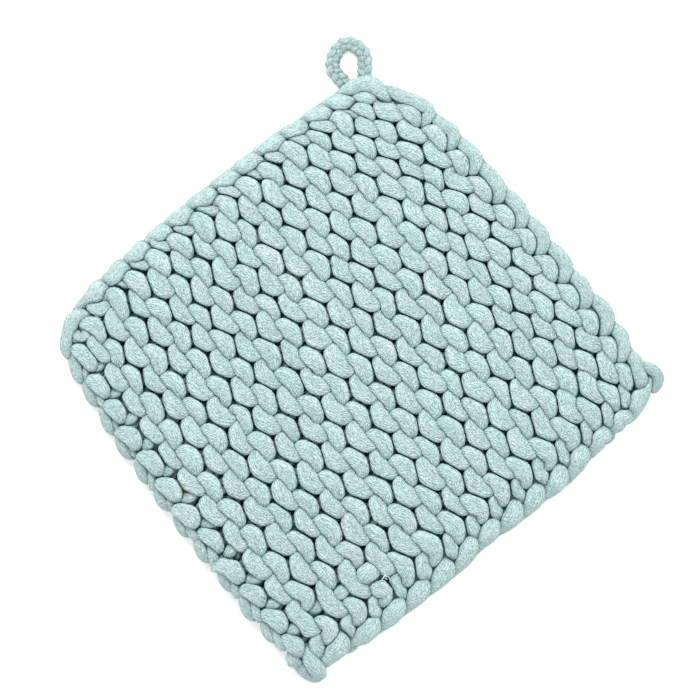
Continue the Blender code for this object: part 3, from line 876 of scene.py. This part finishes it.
# ---- materials ---------------------------------------------------------------
def cotton(name, colour, strands, slant):
    """Soft cotton cord: strands side by side, slanting a little round it."""
    mat = bpy.data.materials.new(name)
    mat.use_nodes = True
    nt = mat.node_tree
    n, link = nt.nodes, nt.links
    bsdf = n["Principled BSDF"]
    bsdf.inputs["Roughness"].default_value = 0.92
    bsdf.inputs["Specular IOR Level"].default_value = 0.08
    bsdf.inputs["Sheen Weight"].default_value = 0.12
    bsdf.inputs["Sheen Roughness"].default_value = 0.55
    bsdf.inputs["Sheen Tint"].default_value = (0.80, 0.93, 0.92, 1)

    def node(kind, **values):
        x = n.new(kind)
        for k, v in values.items():
            setattr(x, k, v)
        return x

    def math_node(op, a, b=None, c=None):
        x = node("ShaderNodeMath", operation=op)
        for i, v in enumerate((a, b, c)):
            if v is None:
                continue
            if hasattr(v, "links"):
                link.new(v, x.inputs[i])
            else:
                x.inputs[i].default_value = v
        return x.outputs[0]

    uv = node("ShaderNodeUVMap", uv_map="yarn")
    sep = node("ShaderNodeSeparateXYZ")
    link.new(uv.outputs[0], sep.inputs[0])
    u, v = sep.outputs[0], sep.outputs[1]
    angle = math_node("MULTIPLY", v, 2 * math.pi)
    ring = node("ShaderNodeCombineXYZ")
    link.new(math_node("MULTIPLY", math_node("COSINE", angle), 3.8), ring.inputs[0])
    link.new(math_node("MULTIPLY", math_node("SINE", angle), 3.8), ring.inputs[1])
    link.new(u, ring.inputs[2])

    def noise(scale, detail=2.0, rough=0.5, stretch=1.0):
        m = node("ShaderNodeMapping")
        m.inputs["Scale"].default_value = (1, 1, stretch)
        link.new(ring.outputs[0], m.inputs[0])
        x = node("ShaderNodeTexNoise")
        x.inputs["Scale"].default_value = scale
        x.inputs["Detail"].default_value = detail
        x.inputs["Roughness"].default_value = rough
        link.new(m.outputs[0], x.inputs["Vector"])
        return x.outputs["Fac"]

    wander = noise(0.28, 2.0)
    jitter = noise(1.3, 2.0, 0.6, 0.5)
    wave = math_node("ADD", math_node("MULTIPLY", v, float(strands)), math_node("MULTIPLY", u, slant))
    wave = math_node("ADD", wave, math_node("MULTIPLY", wander, 3.2))
    wave = math_node("ADD", wave, math_node("MULTIPLY", jitter, 1.5))
    ridge = math_node("ABSOLUTE", math_node("SINE", math_node("MULTIPLY", wave, math.pi)))
    ridge = math_node("POWER", ridge, 0.75)
    fibre = noise(1.7, 1.0, 0.7, 0.62)
    fleck = noise(1.35, 1.5, 0.6, 0.50)
    lumps = noise(0.42, 2.0, 0.5)
    height = math_node("ADD", math_node("MULTIPLY", ridge, 0.38), math_node("MULTIPLY", fibre, 1.5))
    bump = node("ShaderNodeBump")
    bump.inputs["Strength"].default_value = 1.0
    bump.inputs["Distance"].default_value = 0.0011
    link.new(height, bump.inputs["Height"])
    link.new(bump.outputs[0], bsdf.inputs["Normal"])

    def mix(fac, a, b, kind="MIX"):
        x = node("ShaderNodeMix", data_type="RGBA", blend_type=kind)
        if hasattr(fac, "links"):
            link.new(fac, x.inputs["Factor"])
        else:
            x.inputs["Factor"].default_value = fac
        for sock, val in (("A", a), ("B", b)):
            s = [i for i in x.inputs if i.name == sock and i.type == "RGBA"][0]
            if hasattr(val, "links"):
                link.new(val, s)
            else:
                s.default_value = (*val, 1)
        return [o for o in x.outputs if o.type == "RGBA"][0]

    r, g, b = colour
    light = (min(1, r * 1.12), min(1, g * 1.07), min(1, b * 1.08))
    deep = (r * 0.74, g * 0.82, b * 0.82)
    tone = mix(lumps, deep, light)
    tone = mix(0.5, tone, (r, g, b))

    def span(value, low, high):
        x = node("ShaderNodeMapRange", interpolation_type="SMOOTHSTEP")
        x.inputs["From Min"].default_value = low
        x.inputs["From Max"].default_value = high
        link.new(value, x.inputs["Value"])
        return x.outputs[0]

    def scaled(red, green, blue):
        return (min(1, r * red), min(1, g * green), min(1, b * blue))

    hue = noise(0.20, 2.0, 0.5)
    tone = mix(math_node("MULTIPLY", span(hue, 0.50, 0.66), 0.55), tone, scaled(1.16, 1.02, 1.05))
    # painted shade: the grooves between the strands are darkened
    groove = math_node("SUBTRACT", 1.0, span(ridge, 0.10, 0.62))
    tone = mix(math_node("MULTIPLY", groove, 0.24), tone, scaled(0.46, 0.62, 0.62))
    tone = mix(math_node("MULTIPLY", span(fibre, 0.52, 0.66), 0.37), tone, scaled(0.44, 0.60, 0.60))
    tone = mix(math_node("MULTIPLY", span(fibre, 0.47, 0.33), 0.22), tone, scaled(1.36, 1.18, 1.20))
    tone = mix(math_node("MULTIPLY", span(fleck, 0.66, 0.76), 0.75), tone, scaled(0.20, 0.34, 0.35))
    # painted shade: where nearby cord hides a point, its colour turns deep teal and then near black
    shade_attribute = node("ShaderNodeAttribute", attribute_name="painted_shade")
    deep_shade = node("ShaderNodeMapRange", interpolation_type="SMOOTHSTEP")
    deep_shade.inputs["From Min"].default_value = 0.85
    deep_shade.inputs["From Max"].default_value = 1.5
    link.new(shade_attribute.outputs["Fac"], deep_shade.inputs["Value"])
    crease_shade = span(shade_attribute.outputs["Fac"], 0.55, 1.05)
    tone = mix(math_node("MULTIPLY", crease_shade, 0.46), tone, scaled(0.34, 0.62, 0.60))
    tone = mix(math_node("MULTIPLY", deep_shade.outputs[0], 0.74), tone, scaled(0.04, 0.34, 0.33))
    soiled = node("ShaderNodeAttribute", attribute_name="stain")
    tone = mix(math_node("MULTIPLY", span(soiled.outputs["Fac"], 0.12, 0.70), 0.62), tone, (0.42, 0.31, 0.20))
    link.new(tone, bsdf.inputs["Base Color"])
    return mat


def pale_fibre(name):
    """Bleached hair of cotton, a little uneven along its length."""
    mat = bpy.data.materials.new(name)
    mat.use_nodes = True
    nt = mat.node_tree
    bsdf = nt.nodes["Principled BSDF"]
    bsdf.inputs["Roughness"].default_value = 0.8
    bsdf.inputs["Specular IOR Level"].default_value = 0.1
    where = nt.nodes.new("ShaderNodeTexCoord")
    uneven = nt.nodes.new("ShaderNodeTexNoise")
    uneven.inputs["Scale"].default_value = 900.0
    nt.links.new(where.outputs["Object"], uneven.inputs["Vector"])
    ramp = nt.nodes.new("ShaderNodeValToRGB")
    ramp.color_ramp.elements[0].color = (0.60, 0.82, 0.80, 1)
    ramp.color_ramp.elements[1].color = (0.80, 0.96, 0.95, 1)
    nt.links.new(uneven.outputs["Fac"], ramp.inputs["Fac"])
    nt.links.new(ramp.outputs["Color"], bsdf.inputs["Base Color"])
    return mat


# ---- camera, light, floor ----------------------------------------------------
def add_camera():
    cam = bpy.data.cameras.new("camera")
    distance, frame_side = 2.6, 0.308
    cam.sensor_width = 36.0
    cam.lens = 36.0 * (distance - 0.010) / frame_side
    cam.clip_end = 20
    obj = bpy.data.objects.new("camera", cam)
    obj.location = (-0.00543, 0.00581, distance)
    obj.rotation_euler = (0, 0, math.atan2(0.763, 0.647))
    bpy.context.scene.collection.objects.link(obj)
    bpy.context.scene.camera = obj
    return obj


def add_light():
    world = bpy.data.worlds.new("studio")
    bpy.context.scene.world = world
    world.use_nodes = True
    back = world.node_tree.nodes["Background"]
    back.inputs[0].default_value = (1, 1, 1, 1)
    back.inputs[1].default_value = 0.80
    for name, place_at, size, watts in (
        ("key", (-0.75, 0.35, 1.10), 0.9, 16.1),
        ("fill", (0.55, 0.60, 1.30), 1.2, 5.0),
    ):
        light = bpy.data.lights.new(name, "AREA")
        light.shape = "DISK"
        light.size = size
        light.energy = watts
        obj = bpy.data.objects.new(name, light)
        obj.location = place_at
        d = -np.array(place_at)
        obj.rotation_euler = (
            math.acos(-d[2] / np.linalg.norm(d)), 0, math.atan2(d[1], d[0]) - math.pi / 2,
        )
        bpy.context.scene.collection.objects.link(obj)


def add_floor():
    s = 1.5
    mesh = bpy.data.meshes.new("floor")
    mesh.from_pydata([(-s, -s, 0), (s, -s, 0), (s, s, 0), (-s, s, 0)], [], [(0, 1, 2, 3)])
    mat = bpy.data.materials.new("pale_floor")
    mat.use_nodes = True
    bsdf = mat.node_tree.nodes["Principled BSDF"]
    bsdf.inputs["Base Color"].default_value = (0.93, 0.93, 0.93, 1)
    bsdf.inputs["Roughness"].default_value = 0.9
    bsdf.inputs["Specular IOR Level"].default_value = 0.1
    bsdf.inputs["Emission Color"].default_value = (1, 1, 1, 1)
    bsdf.inputs["Emission Strength"].default_value = 0.30
    mesh.materials.append(mat)
    obj = bpy.data.objects.new("floor", mesh)
    bpy.context.scene.collection.objects.link(obj)


def main():
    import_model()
    add_camera()
    add_light()
    add_floor()

    rng = np.random.default_rng(SEED)
    paths, groups, rows = [], [], []
    for j in range(ROWS):
        row = row_path(j, rng)
        if j % 2 == 1:
            m = j // 2
            parts = [row]
            if m < ROWS // 2 - 1:
                parts = [turn_path(left_turn(m))] + parts
            parts = parts + [turn_path(right_turn(m))]
            row = np.concatenate(parts)
            # ease the joins
            d = np.linalg.norm(np.diff(row[:, :3], axis=0), axis=1)
            s = np.concatenate([[0], np.cumsum(d)])
            keep = np.concatenate([[True], np.diff(s) > 1e-6])
            row, s = row[keep], s[keep]
            fine = np.arange(0, s[-1], 0.35)
            row = np.stack([np.interp(fine, s, row[:, k]) for k in range(5)], 1)
            for _ in range(6):
                row[1:-1] = 0.5 * row[1:-1] + 0.25 * (row[:-2] + row[2:])
        paths.append(row)
        rows.append(j)
        groups.append("rows_%d" % (j // 5 + 1))
    for p in chain_paths():
        paths.append(p)
        groups.append("bind_off_chain")
    paths.append(top_foot())
    groups.append("rows_6")
    for p in slipped_paths():
        paths.append(p)
        groups.append("rows_2")
    for p in leg_paths():
        paths.append(p)
        groups.append("rows_1")
    for p in cast_on_paths():
        paths.append(p)
        groups.append("rows_1")
    for p in loop_paths():
        paths.append(p)
        groups.append("loop")
    paths.append(end_path(CURLED_END))
    groups.append("curled_end")
    paths.append(end_path(STUB))
    groups.append("cast_on_stub")

    rows += [-2 if g == "loop" else -1 for g in groups[len(rows):]]
    surfaces = cord_surfaces(paths, rows, rng)
    cores = core_paths()
    # painted shadow: the hidden core cord gets a fixed painted shade, near black in the gaps, lighter at the corners
    # and along the top edge
    for (rings, s, shade, p), (_, m) in zip(cord_surfaces([p for p, _ in cores], [-1] * len(cores), rng), cores):
        core_shade = 0.55 if m == ROWS // 2 - 1 and len(s) > 100 else 0.8 if m in (0, 13, 14) else 1.5
        surfaces.append((rings, s, np.full_like(shade, core_shade), p))
        groups.append("rows_%d" % (2 * m // 5 + 1))
    for surface in fibre_surfaces():
        surfaces.append(surface)
        groups.append("loose_fibres")
    square = cotton("square_cotton", (0.530, 0.715, 0.700), 24, 0.20)
    thin = cotton("loop_cotton", (0.520, 0.700, 0.685), 10, 0.35)
    ends = cotton("ends_cotton", (0.525, 0.710, 0.695), 18, 0.22)
    paint = {"loop": thin, "curled_end": ends, "cast_on_stub": ends, "loose_fibres": pale_fibre("pale_fibre")}
    names = sorted(set(groups))
    for name in names:
        piece = cord_mesh(name, [s for s, g in zip(surfaces, groups) if g == name], paint.get(name, square))
        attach(piece, "root")
        stands_for = {"rows_1": "knitted_square", "loop": "hanging_loop",
                      "curled_end": "bind_off_end", "cast_on_stub": "cast_on_end"}
        if name in stands_for:
            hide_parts(stands_for[name])

    scene = bpy.context.scene
    scene.view_settings.view_transform = "Standard"
    scene.view_settings.look = "None"


main()
